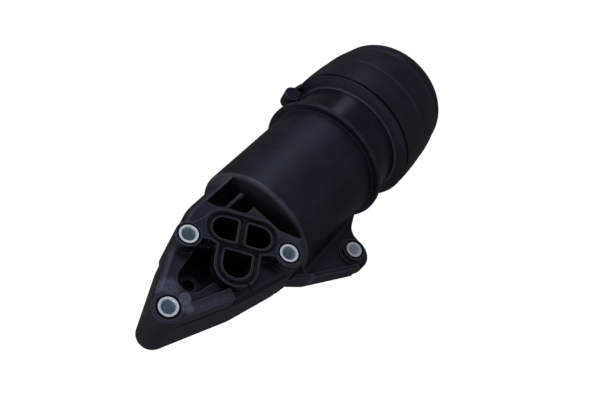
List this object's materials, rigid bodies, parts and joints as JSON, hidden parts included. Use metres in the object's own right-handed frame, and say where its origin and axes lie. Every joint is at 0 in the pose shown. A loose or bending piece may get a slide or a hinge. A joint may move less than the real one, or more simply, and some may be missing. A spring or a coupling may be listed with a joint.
{
  "type": "oil filter housing",
  "caption": "Black plastic oil filter housing: round bowl with a banded screw cap, an angled flange with ports and gasket, steel fixing sleeves and a side bracket.",
  "frame": {"origin": "on the bowl axis, in the plane of the bowl's underside", "axes": "+Z along the bowl axis towards the screw cap, -Y out of the mounting face, +X towards the bracket ear"},
  "size_m": [0.1071, 0.0876, 0.2586],
  "materials": {
    "black_plastic": "satin moulded, glass filled",
    "steel": "zinc plated",
    "rubber": "smooth",
    "paper": "pleated resin paper",
    "grey_plastic": "moulded",
    "spring_steel": "bright drawn wire"
  },
  "bodies": {
    "housing": {"housing": "black_plastic", "sleeve_tip": "steel", "sleeve_left": "steel", "sleeve_right": "steel", "sleeve_bracket": "steel", "flange_gasket": "rubber", "standpipe": "black_plastic", "check_cage": "grey_plastic", "check_spring": "spring_steel"},
    "insert": {"filter_media": "paper", "filter_upper_disc": "grey_plastic", "filter_lower_disc": "grey_plastic", "support_tube": "grey_plastic", "core_ring": "rubber", "drain_pin": "grey_plastic", "drain_ring": "rubber", "bypass_cage": "grey_plastic", "bypass_spring": "spring_steel"},
    "cap": {"screw_cap": "black_plastic", "cap_ring": "rubber"},
    "check_valve": {"check_disc": "rubber"},
    "bypass_valve": {"bypass_poppet": "grey_plastic"}
  },
  "joints": [
    {"name": "insert_lift", "type": "slide", "parent": "housing", "child": "insert", "axis": [0, 0, 1], "range_m": [0, 0.009]},
    {"name": "cap_turn", "type": "hinge", "parent": "insert", "child": "cap", "pos_m": [0, 0, 0.12], "axis": [0, 0, 1], "range_deg": [0, 1080]},
    {"name": "check_lift", "type": "slide", "parent": "housing", "child": "check_valve", "axis": [0, 0, 1], "range_m": [0, 0.004], "stiffness_N_per_m": 60, "springref_m": -0.002, "deforming": ["check_spring"]},
    {"name": "bypass_open", "type": "slide", "parent": "insert", "child": "bypass_valve", "axis": [0, 0, -1], "range_m": [0, 0.0045], "stiffness_N_per_m": 400, "springref_m": -0.003, "deforming": ["bypass_spring"]}
  ],
  "couplings": [
    {"joint": "insert_lift", "follows": "cap_turn", "m_per_rad": 0.00047746}
  ]
}
